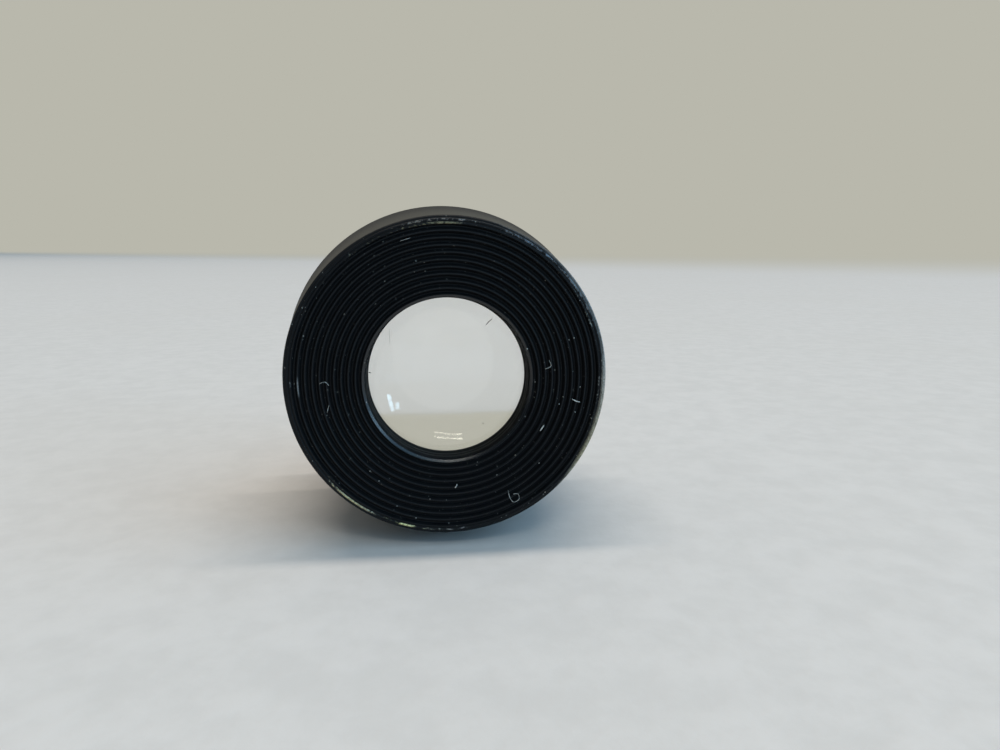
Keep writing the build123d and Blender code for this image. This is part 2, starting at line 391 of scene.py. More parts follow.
        # ridge crests: painted a little lighter grey, partly rubbing and partly a painted highlight along each crest,
        # with rare nicks down to the metal
        turn = n.math("FRACT", n.math("MULTIPLY_ADD", radius, 1 / RIDGE_PITCH, 0.5 - LIP_R / RIDGE_PITCH))
        off = n.math("ABSOLUTE", n.math("SUBTRACT", turn, 0.5))
        face = n.math("MULTIPLY", n.smooth(y, FACE_Y + 0.45, FACE_Y + 0.6, 1.0, 0.0), n.smooth(radius, CORNER_R - 0.5, CORNER_R - 0.3, 1.0, 0.0))
        crest = n.math("MULTIPLY", n.smooth(off, 0.06, 0.13, 1.0, 0.0), n.smooth(y, FACE_Y + 0.02, FACE_Y + 0.06, 1.0, 0.0))
        crest = n.math("MULTIPLY", crest, face)
        # painted shade: the grooves between the ridges are painted darker than the lacquer
        groove_shade = n.math("MULTIPLY", n.smooth(off, 0.10, 0.20), face)
        base = n.mix(n.math("MULTIPLY", groove_shade, 0.55), base, (0.0022, 0.0028, 0.0036))
        base = n.mix(n.math("MULTIPLY", crest, n.smooth(fine, 0.30, 0.66, 0.3, 1.0)), base, (0.0076, 0.0090, 0.0106))
        rough = n.mixf(groove_shade, rough, 0.62)
        nicks_and_glint = n.math("MULTIPLY", crest, n.smooth(n.math("ADD", broken, n.math("MULTIPLY", along, 0.5)), 0.93, 1.02, 0.0, 0.55))
        # painted glint: a short bright stretch of the ninth crest near 180 degrees, added to the nick wear
        glint = n.ramp(share, angle_stops([(-180, 1.0), (-176.5, .9), (-174.5, 0.0), (-90, 0.0), (0, 0.0), (90, 0.0), (177.5, 0.0), (179.9, 1.0)]))
        nicks_and_glint = n.math("MAXIMUM", nicks_and_glint, n.math("MULTIPLY", n.math("MULTIPLY", crest, glint), n.smooth(radius, 13.85, 13.95)))
        rear = n.math("MULTIPLY", n.smooth(radius, CAP_REAR_R - 0.10, CAP_REAR_R - 0.01), n.smooth(y, CAP_REAR_Y - 0.42, CAP_REAR_Y - 0.26))
        rear = n.math("MULTIPLY", rear, n.smooth(chips, 0.60, 0.72, 0.0, 0.75))
        # on the cap this wear also carries the painted glint, and through the tints below painted reflection colours
        wear = n.math("MAXIMUM", n.math("MAXIMUM", n.math("MAXIMUM", corner, rear), edge), n.math("MAXIMUM", bead, nicks_and_glint))
        # rim tints: partly the rubbed brass's own colour, partly painted reflection, bluish at the upper right and the
        # far left where the window light falls
        corner_brass_and_reflection_tint = n.ramp(share, angle_stops([
            (-180, (.22, .25, .27)), (-160, (.24, .25, .24)), (-138, (.32, .29, .19)), (-120, (.26, .24, .19)), (-90, (.22, .22, .22)),
            (-40, (.20, .20, .19)), (-18, (.34, .32, .25)), (0, (.32, .32, .31)), (12, (.24, .28, .32)), (26, (.32, .34, .29)),
            (48, (.24, .26, .26)), (76, (.24, .25, .22)), (88, (.26, .245, .155)), (104, (.30, .27, .165)), (122, (.34, .34, .25)),
            (140, (.20, .22, .21)), (179.9, (.22, .25, .27))]))
        outer_brass_and_reflection_tint = n.ramp(share, angle_stops([
            (-180, (.20, .21, .22)), (-150, (.36, .35, .30)), (-138, (.48, .44, .28)), (-128, (.54, .48, .27)), (-118, (.44, .42, .33)),
            (-109, (.86, .84, .40)), (-105, (.80, .78, .42)), (-98, (.46, .46, .38)), (-84, (.46, .47, .48)), (-60, (.22, .24, .26)),
            (-42, (.34, .36, .32)), (-30, (.42, .39, .27)), (-18, (.40, .38, .30)), (0, (.46, .46, .43)), (8, (.34, .37, .38)),
            (20, (.24, .28, .31)), (36, (.22, .26, .29)), (60, (.17, .21, .26)), (72, (.20, .22, .23)), (86, (.34, .33, .32)),
            (98, (.38, .36, .33)), (108, (.30, .29, .25)), (140, (.16, .16, .17)), (179.9, (.20, .21, .22))]))
        tint = n.mix(n.smooth(radius, CORNER_R + 0.11, CORNER_R + 0.17), corner_brass_and_reflection_tint, outer_brass_and_reflection_tint)
        inner = n.smooth(spread, RIM_R + 0.02, RIM_R + 0.34)
        tint = n.mix(n.math("MULTIPLY", edge, n.math("SUBTRACT", 1.0, inner)), tint, (0.070, 0.054, 0.034))
        # the turned lip keeps a polish; the outer side is painted lighter and warm, most towards the front, a painted
        # sheen of the room reflected along the side
        polish = n.math("MULTIPLY", n.smooth(radius, LIP_R + 0.05, LIP_R + 0.10, 1.0, 0.0), n.smooth(y, FACE_Y + 0.15, FACE_Y + 0.22, 1.0, 0.0))
        rough = n.mixf(polish, rough, 0.19)
        side = n.smooth(radius, RIM_R - 0.005, RIM_R + 0.035)
        front_sheen = n.smooth(y, FACE_Y + 0.3, CAP_REAR_Y, 1.0, 0.0)
        # painted sheen: the side's colour is lighter and warmer towards the front
        base = n.mix(n.math("MULTIPLY", side, n.math("MULTIPLY_ADD", front_sheen, 0.80, 0.05)), base, (0.060, 0.057, 0.046))
        rough = n.mixf(side, rough, 0.50)
    elif kind == "body":
        front = n.math("MULTIPLY", n.smooth(radius, BODY_R - 0.22, BODY_R - 0.02), n.smooth(y, -0.62, -0.30))
        thread = n.math("MULTIPLY", n.smooth(radius, SPIGOT_R - 0.13, SPIGOT_R - 0.02), n.smooth(y, 0.15, 0.3))
        neck = n.math("MULTIPLY", n.smooth(radius, NECK_R - 0.12, NECK_R - 0.02), n.smooth(y, THREAD_REAR_Y, THREAD_REAR_Y + 0.1, 1.0, 0.0))
        ledge = n.math("MULTIPLY", n.smooth(radius, BODY_R - 0.16, BODY_R - 0.03), n.smooth(y, SHOULDER_Y + 0.16, SHOULDER_Y + 0.26, 1.0, 0.0))
        where = n.math("MAXIMUM", n.math("MAXIMUM", n.math("MULTIPLY", n.math("MAXIMUM", front, ledge), 0.72), thread), neck)
        wear = n.math("MULTIPLY", where, n.smooth(n.math("ADD", wear_noise, n.math("MULTIPLY", streaks, 0.4)), 0.58, 0.82))
        tint = n.mix(broad, (0.44, 0.34, 0.15), (0.34, 0.28, 0.17))
    else:
        wear = n.math("MULTIPLY", n.smooth(n.math("ADD", wear_noise, n.math("MULTIPLY", streaks, 0.4)), 0.80, 0.98), 0.5)
        tint = n.mix(broad, (0.36, 0.29, 0.15), (0.24, 0.20, 0.13))
    # on the cap the tint also holds painted reflection colours
    tarnish = n.mix(n.smooth(streaks, 0.40, 0.66), tint, n.mix(0.66, tint, (0.05, 0.045, 0.035)))
    base = n.mix(wear, base, tarnish)
    rough = n.mixf(wear, rough, 0.40)
    metallic = n.math("MULTIPLY", wear, 0.70)

    # turning marks: rings on the flats, plus lacquer texture
    rings = n.noise(n.vector(n.math("MULTIPLY", radius, 9.0), n.math("MULTIPLY", y, 9.0), 0.0), 1.0, 3.0, 0.6)
    height = n.math("MULTIPLY_ADD", grit, 0.5, n.math("MULTIPLY_ADD", rings, 0.35, n.math("MULTIPLY", fine, 0.6)))
    height = n.math("SUBTRACT", height, n.math("MULTIPLY", wear, 0.6))
    height = n.math("ADD", height, n.math("MULTIPLY", dust, 1.2))
    b = n.principled(Base_Color=base, Roughness=rough, Metallic=metallic, Normal=n.bump(height, 0.22, 0.00006))
    b.inputs["Specular IOR Level"].default_value = specular
    b.inputs["Coat Weight"].default_value = 0.02
    b.inputs["Coat Roughness"].default_value = 0.25
    n.output(b.outputs[0])
    return m


def _color_value(self, color):
    sep = self.new("ShaderNodeSeparateColor")
    self.put(sep.inputs[0], color)
    return sep.outputs[0]


def _vector(self, x, y, z):
    c = self.new("ShaderNodeCombineXYZ")
    for i, v in enumerate((x, y, z)):
        self.put(c.inputs[i], v)
    return c.outputs[0]


Nodes.new_color_value = _color_value
Nodes.vector = _vector


def matt_black(name):
    m, n = material(name)
    p, radius, share, y = n.millimetres()
    fine = n.noise(p, 7.0, 5.0, 0.6)
    base = n.mix(n.smooth(fine, 0.35, 0.7), (0.0060, 0.0062, 0.0062), (0.0145, 0.0140, 0.0125))
    rings = n.noise(n.vector(n.math("MULTIPLY", radius, 7.0), n.math("MULTIPLY", y, 7.0), 0.0), 1.0, 3.0, 0.6)
    rough = n.math("MULTIPLY_ADD", fine, 0.22, 0.52)
    b = n.principled(Base_Color=base, Roughness=rough,
                     Normal=n.bump(n.math("MULTIPLY_ADD", rings, 0.6, n.math("MULTIPLY", fine, 0.5)), 0.3, 0.00008))
    b.inputs["Specular IOR Level"].default_value = 0.30
    n.output(b.outputs[0])
    return m


def glass(name, ior, tint):
    m, n = material(name)
    p, radius, share, y = n.millimetres()
    smear = n.noise(p, 0.55, 4.0, 0.6, 0.6)
    rough = n.smooth(smear, 0.60, 0.95, 0.0, 0.008)
    b = n.principled(Roughness=rough)
    b.inputs["Base Color"].default_value = (*tint, 1.0)
    b.inputs["IOR"].default_value = ior
    b.inputs["Transmission Weight"].default_value = 1.0
    n.output(b.outputs[0])
    return m


def hazed(m, amount):
    """A copy of a glass with a light haze on it."""
    c = m.copy()
    c.name = m.name + "_hazed"
    for node in c.node_tree.nodes:
        if node.type == "BSDF_PRINCIPLED":
            for link in list(node.inputs["Roughness"].links):
                src = link.from_node
                src.inputs["To Min"].default_value = amount * 0.85
                src.inputs["To Max"].default_value = amount * 1.25
    return c


def fibre_material(name, dark, light):
    m, n = material(name)
    p, radius, share, y = n.millimetres()
    v = n.noise(p, 3.0, 3.0)
    b = n.principled(Base_Color=n.mix(n.smooth(v, 0.35, 0.65), dark, light), Roughness=n.math("MULTIPLY_ADD", v, 0.2, 0.7))
    n.output(b.outputs[0])
    return m


mat_cap = lacquer("black_lacquer_cap", "cap")
mat_lip = lacquer("polished_lacquer_lip", "cap", 0.48)
mat_body = lacquer("black_lacquer_body", "body")
mat_ring = lacquer("blackened_brass_ring", "ring")
mat_matt = matt_black("matt_black_bore")
mat_edge = matt_black("lens_edge_black")
mat_flint = glass("flint_glass", FLINT_INDEX, (0.993, 0.990, 0.972))
mat_crown = glass("crown_glass", CROWN_INDEX, (0.994, 0.996, 0.990))
mat_film = hazed(mat_flint, 0.13)
mat_soft = hazed(mat_crown, 0.055)
mat_cement = glass("cement_joint", FLINT_INDEX / CROWN_INDEX, (1.0, 1.0, 1.0))
mat_open = material("cement_side_of_crown")[0]
open_shader = Nodes(mat_open)
b = open_shader.principled(Roughness=0.0, Alpha=0.0)
b.inputs["Base Color"].default_value = (1.0, 1.0, 1.0, 1.0)
open_shader.output(b.outputs[0])
mat_lint = fibre_material("pale_lint", (0.30, 0.30, 0.28), (0.62, 0.62, 0.58))
mat_hair = fibre_material("dark_lint", (0.05, 0.045, 0.04), (0.16, 0.15, 0.13))


def finish_piece(o, body, slot_name, *nodes):
    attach(o, body)
    if nodes:
        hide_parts(*nodes)
    return o


# -------------------------------------------------------------------- eye cap
crests = [LIP_R + k * RIDGE_PITCH for k in range(RIDGES + 1)]
outline = [(LIP_CHAMFER_R, FACE_Y + LIP_CHAMFER_D + 0.03, 0.04), (LIP_CHAMFER_R + 0.03, FACE_Y + LIP_CHAMFER_D - 0.03, 0.04), (LIP_R + 0.05, FACE_Y + 0.004, 0.04),
           (LIP_R + CREST_LAND / 2 + 0.02, FACE_Y, 0.03)]
for k in range(1, RIDGES + 1):
    mid = (crests[k - 1] + crests[k]) / 2
    outline += [(mid - GROOVE_FLAT / 2, FACE_Y + GROOVE_DEPTH, 0.07), (mid + GROOVE_FLAT / 2, FACE_Y + GROOVE_DEPTH, 0.07),
                (crests[k] - CREST_LAND / 2, FACE_Y, 0.05), (crests[k] + CREST_LAND / 2, FACE_Y, 0.05)]
mid = (crests[-1] + CORNER_R) / 2 + LAST_GROOVE_SHIFT
outline += [(mid - GROOVE_FLAT / 2, FACE_Y + GROOVE_DEPTH, 0.07), (mid + GROOVE_FLAT / 2, FACE_Y + GROOVE_DEPTH, 0.07),
            (CORNER_R - 0.08, FACE_Y, 0.04), (CORNER_R + 0.05, FACE_Y, 0.05), (CORNER_R + 0.15, FACE_Y + 0.085, 0.04), (CORNER_R + 0.19, FACE_Y + 0.085, 0.04),
            (BEAD_R - 0.05, FACE_Y + 0.015, 0.05), (BEAD_R + 0.06, FACE_Y + 0.025, 0.06), (BEAD_R + 0.17, FACE_Y + 0.120, 0.04),
            (BEAD_R + 0.22, FACE_Y + 0.120, 0.04), (RIM_R - 0.09, FACE_Y + 0.095, 0.07), (RIM_R, FACE_Y + RIM_BACK, 0.08)]
for t in (0.2, 0.4, 0.6, 0.8):
    outline.append((RIM_R + (CAP_REAR_R - 0.03 - RIM_R) * t, FACE_Y + RIM_BACK + (CAP_REAR_Y - 0.30 - FACE_Y - RIM_BACK) * t))
outline += [(CAP_REAR_R - 0.03, CAP_REAR_Y - 0.30, 0.12), (CAP_REAR_R, CAP_REAR_Y - 0.15, 0.10), (CAP_REAR_R - 0.15, CAP_REAR_Y, 0.10),
            (PILOT_R + 0.26, CAP_REAR_Y, 0.04), (PILOT_R + 0.06, CAP_REAR_Y - 0.20, 0.04)]
ring_pocket_y = eye_joint_y + 0.10
boss_rear = eye_land + EYE_RING[2] + 0.15
outline += [(PILOT_R + 0.06, THREAD_REAR_Y)]
female = [y for y in reversed(thread_rows(SEAT_Y + 0.90, THREAD_REAR_Y - 0.20))]
outline += [(NECK_R + THREAD_CLEAR, y) for y in female]
outline += [(NECK_R + THREAD_CLEAR, SEAT_Y + 0.50), (BOSS_R, SEAT_Y + 0.50), (BOSS_R, boss_rear - 0.20, 0.08),
            (BOSS_R - 0.20, boss_rear, 0.06), (EYE_RING[1] + 0.24, boss_rear, 0.05), (EYE_RING[1] + EDGE_CLEAR, boss_rear - 0.20),
            (EYE_RING[1] + EDGE_CLEAR, ring_pocket_y), (EYE_EDGE_R + EDGE_CLEAR, ring_pocket_y), (EYE_EDGE_R + EDGE_CLEAR, SEAT_Y),
            (APERTURE_R, SEAT_Y, 0.03)]
# fine steps turned in the wall of the eye opening
for t in (0.28, 0.52, 0.76):
    yy = SEAT_Y + (FACE_Y + LIP_CHAMFER_D - SEAT_Y) * t
    rr = APERTURE_R + (LIP_CHAMFER_R - APERTURE_R) * t
    outline += [(rr - 0.02, yy + 0.03), (rr + 0.02, yy - 0.03)]
cap_points = filleted(outline, 6)


def cap_thread(r, y, a):
    if abs(r - (NECK_R + THREAD_CLEAR)) < 1e-6 and SEAT_Y + 0.90 <= y <= THREAD_REAR_Y - 0.20:
        return r + thread_shape(y, a, SEAT_Y + 0.90, THREAD_REAR_Y - 0.20, 0.34)
    return r


def cap_slot(i):
    r, y = cap_points[i]
    r2, y2 = cap_points[(i + 1) % len(cap_points)]
    if LIP_CHAMFER_R - 0.005 < min(r, r2) and max(r, r2) < LIP_R + 0.06 and max(y, y2) < FACE_Y + LIP_CHAMFER_D:
        return 2
    inside = max(r, r2) < 14.5 and min(y, y2) > FACE_Y + 0.60
    wall = max(r, r2) < LIP_CHAMFER_R + 0.05
    return 1 if inside or (wall and min(y, y2) > FACE_Y + 0.40) else 0


cap = lathe("eye_cap_finish", cap_points, 360, (mat_cap, mat_matt, mat_lip), cap_slot, cap_thread)
finish_piece(cap, "cap", "lacquered_brass", "eye_cap")


# ----------------------------------------------------------------- body tube
field_pocket_y = field_rear - 0.15
ring_bore_rear = field_rear + FIELD_RING[2] + 0.45
male = thread_rows(NECK_FRONT_Y + 0.35, THREAD_REAR_Y)
spigot = thread_rows(0.35, SPIGOT_LENGTH - 0.50)
outline = [(NECK_BORE_R + 0.20, NECK_FRONT_Y, 0.05), (NECK_R - 0.35, NECK_FRONT_Y, 0.08)]
outline += [(NECK_R, y) for y in male]
outline += [(NECK_R - 0.40, THREAD_REAR_Y + 0.15), (NECK_R - 0.40, THREAD_REAR_Y + 0.45), (PILOT_R, THREAD_REAR_Y + 0.65, 0.05),
            (PILOT_R, SHOULDER_Y), (BODY_R - 0.20, SHOULDER_Y, 0.08), (BODY_R, SHOULDER_Y + 0.20, 0.10)]
outline += [(BODY_R, SHOULDER_Y + (0 - SHOULDER_Y) * t) for t in (0.25, 0.5, 0.75)]
outline += [(BODY_R, -0.30, 0.14), (BODY_R - 0.30, 0.0, 0.12), (SPIGOT_R, 0.0)]
outline += [(SPIGOT_R, y) for y in spigot]
outline += [(SPIGOT_R - 0.50, SPIGOT_LENGTH, 0.10), (REAR_BORE_R + 0.25, SPIGOT_LENGTH, 0.08), (REAR_BORE_R, SPIGOT_LENGTH - 0.25, 0.08),
            (REAR_BORE_R, ring_bore_rear + 0.60, 0.08), (FIELD_RING[1] + EDGE_CLEAR, ring_bore_rear, 0.08),
            (FIELD_RING[1] + EDGE_CLEAR, field_pocket_y), (FIELD_EDGE_R + EDGE_CLEAR, field_pocket_y),
            (FIELD_EDGE_R + EDGE_CLEAR, field_land - 0.01), (FIELD_CURVE_R + 0.05, field_land - 0.01),
            (FIELD_CURVE_R + 0.05, WEB_FRONT_Y + 0.25, 0.05), (FIELD_CURVE_R + 0.30, WEB_FRONT_Y, 0.05),
            (NECK_BORE_R, WEB_FRONT_Y), (NECK_BORE_R, NECK_FRONT_Y + 0.20)]
body_points = filleted(outline)


def body_thread(r, y, a):
    if abs(r - NECK_R) < 1e-6 and NECK_FRONT_Y + 0.35 <= y <= THREAD_REAR_Y:
        return r - thread_shape(y, a, NECK_FRONT_Y + 0.35, THREAD_REAR_Y, 0.36)
    if abs(r - SPIGOT_R) < 1e-6 and 0.35 <= y <= SPIGOT_LENGTH - 0.50:
        return r - thread_shape(y, a, 0.35, SPIGOT_LENGTH - 0.50, 0.40)
    return r


def body_slot(i):
    r, y = body_points[i]
    r2, y2 = body_points[(i + 1) % len(body_points)]
    return 1 if max(r, r2) < REAR_BORE_R + 0.15 else 0


body = lathe("body_tube_finish", body_points, 300, (mat_body, mat_matt), body_slot, body_thread)
finish_piece(body, "body", "lacquered_brass", "body_tube")


# ---------------------------------------------------------- retaining rings
def ring_mesh(name, dims, y_front, owner, node):
    r_in, r_out, thick = dims
    y_rear = y_front + thick
    rows = thread_rows(y_front + 0.15, y_rear - 0.15, 10)
    pts = [(r_in, y_front, 0.04), (r_out - 0.15, y_front, 0.04)]
    pts += [(r_out, y) for y in rows]
    pts += [(r_out - 0.15, y_rear, 0.04), (r_in + 0.30, y_rear, 0.06), (r_in, y_rear - 0.55, 0.06)]
    pts = filleted(pts)

    def shape(r, y, a):
        if abs(r - r_out) < 1e-6:
            return r - thread_shape(y, a, y_front + 0.15, y_rear - 0.15, 0.22)
        return r

    o = lathe(name, pts, 256, (mat_ring,), None, shape)
    cut = bpy.data.meshes.new(name + "_slot")
    bm = bmesh.new()
    bmesh.ops.create_cube(bm, size=1.0)
    bmesh.ops.scale(bm, vec=((2 * r_out + 4) * MM, 2 * SLOT_D * MM, SLOT_W * MM), verts=bm.verts)
    bmesh.ops.translate(bm, vec=(0, y_rear * MM, 0), verts=bm.verts)
    bm.to_mesh(cut)
    bm.free()
    cutter = bpy.data.objects.new(name + "_slot", cut)
    scene.collection.objects.link(cutter)
    mod = o.modifiers.new("slot", "BOOLEAN")
    mod.operation, mod.object, mod.solver = "DIFFERENCE", cutter, "EXACT"
    dg = bpy.context.evaluated_depsgraph_get()
    made = bpy.data.meshes.new_from_object(o.evaluated_get(dg))
    o.modifiers.clear()
    o.data = made
    made.set_sharp_from_angle(angle=math.radians(32))
    bpy.data.objects.remove(cutter)
    return finish_piece(o, owner, "blackened_ring", node)


ring_mesh("eye_lens_retainer_finish", EYE_RING, eye_land + 0.01, "cap", "eye_lens_retainer")
ring_mesh("field_lens_retainer_finish", FIELD_RING, field_rear + 0.01, "body", "field_lens_retainer")


# --------------------------------------------------------------------- lenses
def curve(radius, vertex, r_end, direction, steps=72, inward=False):
    pts = []
    for k in range(steps + 1):
        r = r_end * k / steps
        pts.append((r, vertex + direction * sag(radius, r)))
    return pts[::-1] if inward else pts


# In a cemented pair light goes straight from one glass into the other. The flint's
# cemented face bends it by the ratio of the two indices and hardly reflects, and the
# crown's cemented face lies a few micrometres on and does nothing more.
CEMENT_GAP = 0.004


def lens(name, pts, glass_mat, joint_mat, joint_rows, owner, node, edge_r, slot_name, film_y=None, film_mat=None):
    def slot_of(i):
        a, b = pts[i], pts[(i + 1) % len(pts)]
        if i in joint_rows:
            return 2
        if film_y is not None and min(a[1], b[1]) > film_y:
            return 3
        return 1 if min(a[0], b[0]) > edge_r - 1e-6 else 0

    o = lathe(name, pts, 288, (glass_mat, mat_edge, joint_mat) + ((film_mat,) if film_mat else ()), slot_of, None, 20)
    return finish_piece(o, owner, slot_name, node)


STEPS = 72
front = [(0.0, eye_front), (3.0, eye_front), (6.0, eye_front), (EYE_EDGE_R - 0.08, eye_front), (EYE_EDGE_R, eye_front + 0.08)]
joint = curve(CEMENT_RADIUS, eye_cement, EYE_EDGE_R, 1, STEPS, inward=True)
lens("eye_lens_flint_finish", front + joint, mat_flint, mat_cement,
     range(len(front), len(front) + STEPS), "eye_lens", "eye_lens_flint", EYE_EDGE_R - 0.001, "flint_glass")
joint = curve(CEMENT_RADIUS, eye_cement + CEMENT_GAP, EYE_EDGE_R, 1, STEPS)
lens("eye_lens_crown_finish",
     joint + [(EYE_EDGE_R, eye_land - 0.06), (EYE_EDGE_R - 0.06, eye_land)]
     + curve(CROWN_RADIUS, eye_vertex, EYE_CURVE_R, -1, inward=True),
     mat_crown, mat_open, range(0, STEPS), "eye_lens", "eye_lens_crown", EYE_EDGE_R - 0.001, "crown_glass",
     film_y=eye_land - 0.001, film_mat=mat_soft)
head = curve(CROWN_RADIUS, field_vertex, FIELD_CURVE_R, 1) + [(FIELD_EDGE_R - 0.06, field_land), (FIELD_EDGE_R, field_land + 0.06)]
joint = curve(CEMENT_RADIUS, field_cement - CEMENT_GAP, FIELD_EDGE_R, -1, STEPS, inward=True)
lens("field_lens_crown_finish", head + joint, mat_crown, mat_open,
     range(len(head), len(head) + STEPS), "body", "field_lens_crown", FIELD_EDGE_R - 0.001, "crown_glass")
lens("field_lens_flint_finish",
     curve(CEMENT_RADIUS, field_cement, FIELD_EDGE_R, -1, STEPS)
     + [(FIELD_EDGE_R, field_rear - 0.08), (FIELD_EDGE_R - 0.08, field_rear), (6.0, field_rear), (3.0, field_rear), (0.0, field_rear)],
     mat_flint, mat_cement, range(0, STEPS), "body", "field_lens_flint", FIELD_EDGE_R - 0.001, "flint_glass",
     film_y=field_rear - 0.001, film_mat=mat_film)


# ----------------------------------------------------------- lint and fibres
def fibre(bm, pts, radius, sides=6):
    """Closed thin tube through (x, y, z) points in mm, tapered at both ends."""
    p = [Vector(q) for q in pts]
    line = []
    for i in range(len(p) - 1):
        a, b, c, d = p[max(i - 1, 0)], p[i], p[i + 1], p[min(i + 2, len(p) - 1)]
        for k in range(5):
            t = k / 5
            line.append(0.5 * ((2 * b) + (c - a) * t + (2 * a - 5 * b + 4 * c - d) * t * t + (3 * b - a - 3 * c + d) * t ** 3))
    line.append(p[-1])
    rings = []
    for i, q in enumerate(line):
        d = (line[min(i + 1, len(line) - 1)] - line[max(i - 1, 0)]).normalized()
        u = d.cross(Vector((0, 1, 0)))
        u = u.normalized() if u.length > 1e-6 else Vector((1, 0, 0))
        v = d.cross(u).normalized()
        e = min(i, len(line) - 1 - i)
        rr = radius * (0.45 if e == 0 else 0.85 if e == 1 else 1.0)
        rings.append([bm.verts.new((q + u * rr * math.cos(a) + v * rr * math.sin(a)) * MM)
                      for a in (2 * math.pi * k / sides for k in range(sides))])
    for a, b in zip(rings, rings[1:]):
        for k in range(sides):
            bm.faces.new((a[k], a[(k + 1) % sides], b[(k + 1) % sides], b[k]))
    bm.faces.new(rings[0][::-1])
    bm.faces.new(rings[-1])


def fibres(name, lines, mat, owner, slot_name):
    bm = bmesh.new()
    for pts, radius in lines:
        fibre(bm, pts, radius)
    bmesh.ops.recalc_face_normals(bm, faces=bm.faces)
    me = bpy.data.meshes.new(name)
    bm.to_mesh(me)
    bm.free()
    me.shade_smooth()
    me.materials.append(mat)
    o = bpy.data.objects.new(name, me)
    scene.collection.objects.link(o)
    return finish_piece(o, owner, slot_name)


def on_face(*xz, lift=0.03):
    return [(x, FACE_Y - lift - 0.015 * (i % 2), z) for i, (x, z) in enumerate(xz)]


fibres("face_lint", [
    (on_face((5.79, -11.28), (6.0, -12.13), (6.4, -12.57), (6.91, -12.27), (6.81, -11.74), (6.3, -11.72)), 0.020),
    (on_face((12.15, -2.14), (12.55, -2.36), (12.96, -2.47)), 0.050),
    (on_face((8.98, -5.30), (9.37, -4.70)), 0.070),
    (on_face((9.79, 1.80), (10.0, 1.20), (9.41, 0.91)), 0.020),
    (on_face((-12.18, -0.09), (-11.62, 0.09), (-11.26, -0.30)), 0.017),
    (on_face((-11.56, -2.90), (-11.34, -2.13)), 0.018),
    (on_face((0.50, -10.85), (0.66, -10.62), (0.71, -10.45)), 0.055),
    (on_face((-4.29, 13.15), (-3.37, 13.43)), 0.018),
    (on_face((7.60, 2.88), (7.66, 2.98)), 0.055),
    (on_face((12.21, 3.90), (12.27, 3.96)), 0.055),
    (on_face((11.71, 3.72), (11.78, 3.76)), 0.050),
    (on_face((8.41, -0.38), (8.46, -0.31)), 0.045),
    (on_face((12.90, -0.97), (12.97, -0.92)), 0.050),
    (on_face((10.82, -2.64), (10.89, -2.60)), 0.050),
    (on_face((12.45, -3.50), (12.50, -3.44)), 0.045),
    (on_face((8.88, -8.62), (8.95, -8.56)), 0.045),
    (on_face((9.52, -11.68), (9.59, -11.62)), 0.045),
    (on_face((-2.01, -11.91), (-1.95, -11.86)), 0.050),
    (on_face((-7.75, -8.82), (-7.69, -8.76)), 0.055),
    (on_face((-6.92, -9.85), (-6.86, -9.80)), 0.045),
    (on_face((-5.25, -12.50), (-5.19, -12.44)), 0.045),
    (on_face((-3.42, -13.82), (-3.36, -13.77)), 0.045),
], mat_lint, "cap", None)
fibres("glass_lint", [
    ([(3.91, eye_front - 0.03, 5.00), (4.2, eye_front - 0.03, 5.34), (4.51, eye_front - 0.03, 5.59)], 0.036),
    ([(-7.72, eye_front - 0.03, 0.47), (-7.50, eye_front - 0.03, 0.40)], 0.045),
    ([(3.53, eye_front - 0.03, -4.97), (3.62, eye_front - 0.03, -5.12)], 0.036),
    ([(-5.62, eye_front - 0.03, 4.92), (-5.57, eye_front - 0.03, 3.15)], 0.009),
    ([(-6.88, eye_front - 0.03, 4.65), (-6.5, eye_front - 0.03, 5.1), (-6.19, eye_front - 0.03, 5.42)], 0.009),
], mat_hair, "eye_lens", None)


# --------------------------------------------------------------------- camera
CAM_POS = Vector((-2.90, -86.34, 12.31)) * MM
LOOK = Vector((0.1163, 0.97761, -0.17539)).normalized()
RIGHT = LOOK.cross(Vector((0, 0, 1))).normalized()
UP = RIGHT.cross(LOOK).normalized()
cam_data = bpy.data.cameras.new("camera")
cam_data.lens = 25.2
cam_data.sensor_width = 36.0
cam_data.clip_start, cam_data.clip_end = 0.002, 100.0
camera = bpy.data.objects.new("camera", cam_data)
camera.matrix_world = Matrix((
    (RIGHT.x, UP.x, -LOOK.x, CAM_POS.x),
    (RIGHT.y, UP.y, -LOOK.y, CAM_POS.y),
    (RIGHT.z, UP.z, -LOOK.z, CAM_POS.z),
    (0, 0, 0, 1)))
scene.collection.objects.link(camera)
scene.camera = camera


# ---------------------------------------------------------------------- stage
WALL = (0.485, 0.479, 0.413)


def plane(name, corners, mat):
    me = bpy.data.meshes.new(name)
    me.from_pydata([Vector(c) for c in corners], [], [tuple(range(len(corners)))])
    me.materials.append(mat)
    o = bpy.data.objects.new(name, me)
    scene.collection.objects.link(o)
    return o


floor_mat, n = material("pale_floor")
tc = n.new("ShaderNodeTexCoord")
grain = n.noise(tc.outputs["Object"], 260.0, 6.0, 0.6)
cloud = n.noise(tc.outputs["Object"], 14.0, 3.0)
tone = n.mix(n.smooth(grain, 0.3, 0.7), (0.616, 0.597, 0.580), (0.663, 0.642, 0.625))
tone = n.mix(n.math("MULTIPLY", n.smooth(cloud, 0.4, 0.7), 0.25), tone, (0.618, 0.595, 0.568))
b = n.principled(Base_Color=tone, Roughness=0.62, Normal=n.bump(grain, 0.25, 0.0004))
b.inputs["Specular IOR Level"].default_value = 0.25
away = n.vmath("DOT_PRODUCT", tc.outputs["Object"], (0.805, 0.593, 0.0))
fade = n.smooth(n.math("DIVIDE", 1.0, n.math("MAXIMUM", away, 0.05)), 0.20, 1.35, 1.0, 0.0)
glow = n.new("ShaderNodeEmission")
glow.inputs["Color"].default_value = (*WALL, 1)
mixed = n.new("ShaderNodeMixShader")
n.put(mixed.inputs[0], fade)
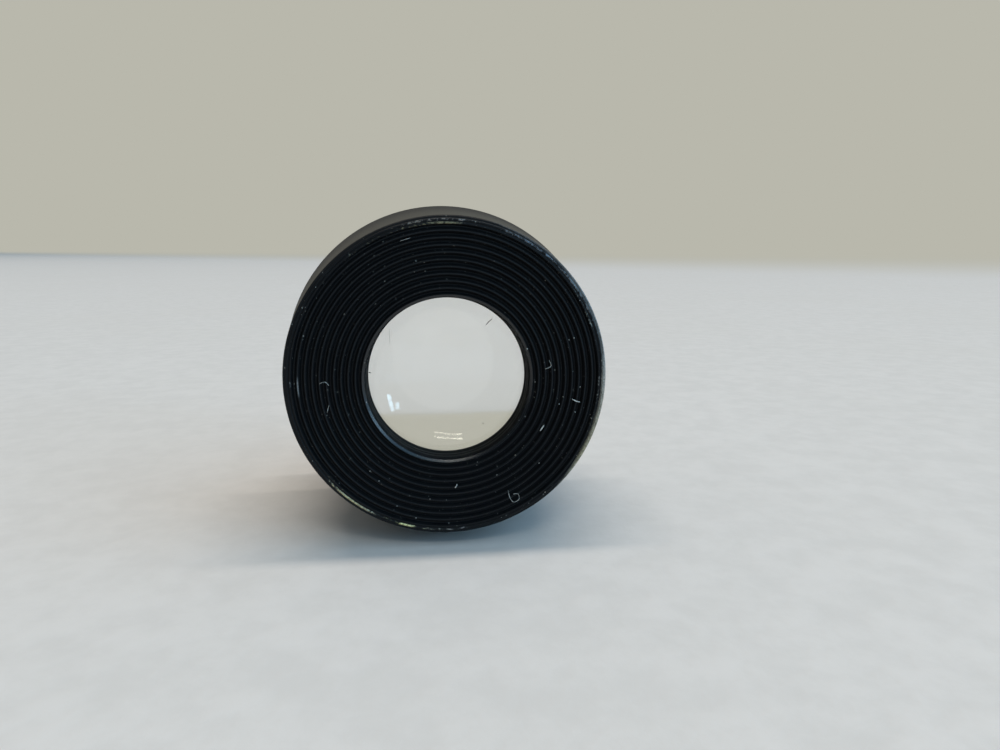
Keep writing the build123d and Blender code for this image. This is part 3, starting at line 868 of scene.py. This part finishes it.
n.t.links.new(b.outputs[0], mixed.inputs[1])
n.t.links.new(glow.outputs[0], mixed.inputs[2])
n.output(mixed.outputs[0])
z = FLOOR_Z * MM
plane("floor", [(-30, -30, z), (30, -30, z), (30, 30, z), (-30, 30, z)], floor_mat)

world = bpy.data.worlds.new("studio")
scene.world = world
world.use_nodes = True
n = Nodes(world)
tc = n.new("ShaderNodeTexCoord")
sep = n.new("ShaderNodeSeparateXYZ")
n.put(sep.inputs[0], tc.outputs["Generated"])
lean = n.math("MULTIPLY_ADD", sep.outputs["Z"], 0.8, sep.outputs["Y"])
amount = n.smooth(lean, -0.7, 0.5, 0.10, 0.34)
warmth = n.smooth(lean, -0.5, 0.7)
room = n.vmath("SCALE", n.mix(warmth, (0.72, 0.90, 1.0), (1.0, 0.985, 0.90)), scale=amount)
# a broad soft glow of the window side
side_on = n.vmath("DOT_PRODUCT", tc.outputs["Generated"], (0.805, -0.523, 0.282))
window = n.vmath("SCALE", n.vector(0.31, 0.66, 1.0), scale=n.smooth(side_on, 0.30, 1.0, 0.0, 1.42))
ambient = n.new("ShaderNodeBackground")
n.put(ambient.inputs["Color"], n.vmath("ADD", room, window))
seen = n.new("ShaderNodeBackground")
seen.inputs["Color"].default_value = (*WALL, 1)
path = n.new("ShaderNodeLightPath")
direct = n.math("MAXIMUM", path.outputs["Is Camera Ray"], path.outputs["Is Transmission Ray"])
mixed = n.new("ShaderNodeMixShader")
n.put(mixed.inputs[0], direct)
n.t.links.new(ambient.outputs[0], mixed.inputs[1])
n.t.links.new(seen.outputs[0], mixed.inputs[2])
n.output(mixed.outputs[0], "ShaderNodeOutputWorld")


def panel(name, place, width, height, power, color, target=(0, -0.015, 0), roll=0.0):
    d = bpy.data.lights.new(name, "AREA")
    d.shape, d.size, d.size_y = "RECTANGLE", width, height
    d.energy, d.color = power, color
    o = bpy.data.objects.new(name, d)
    o.location = place
    o.rotation_mode = "QUATERNION"
    o.rotation_quaternion = (Vector(place) - Vector(target)).to_track_quat("Z", "Y") @ Quaternion((0, 0, 1), math.radians(roll))
    scene.collection.objects.link(o)


panel("overhead", (0.40, 0.46, 6.0), 6.2, 0.40, 212, (1.0, 0.908, 0.806), (0.40, 0.46, 0))


def towards(elevation, azimuth, distance):
    """A place seen from the eye lens at this elevation, and this far right of the camera's side."""
    e, a = math.radians(elevation), math.radians(azimuth)
    return Vector((distance * math.cos(e) * math.sin(a), -0.017 - distance * math.cos(e) * math.cos(a), distance * math.sin(e)))


panel("window_a", towards(15, 56, 1.5), 0.12, 0.36, 1.5, (0.52, 0.78, 1.0))
panel("window_b", towards(18, 49, 1.5), 0.10, 0.14, 0.55, (0.52, 0.78, 1.0))
panel("tube_a", towards(48.1, 1.5, 1.5), 0.60, 0.026, 1.25, (1.0, 0.97, 0.86), roll=-8)
panel("tube_b", towards(52.7, 1.5, 1.5), 0.60, 0.026, 1.25, (1.0, 0.97, 0.86), roll=-8)
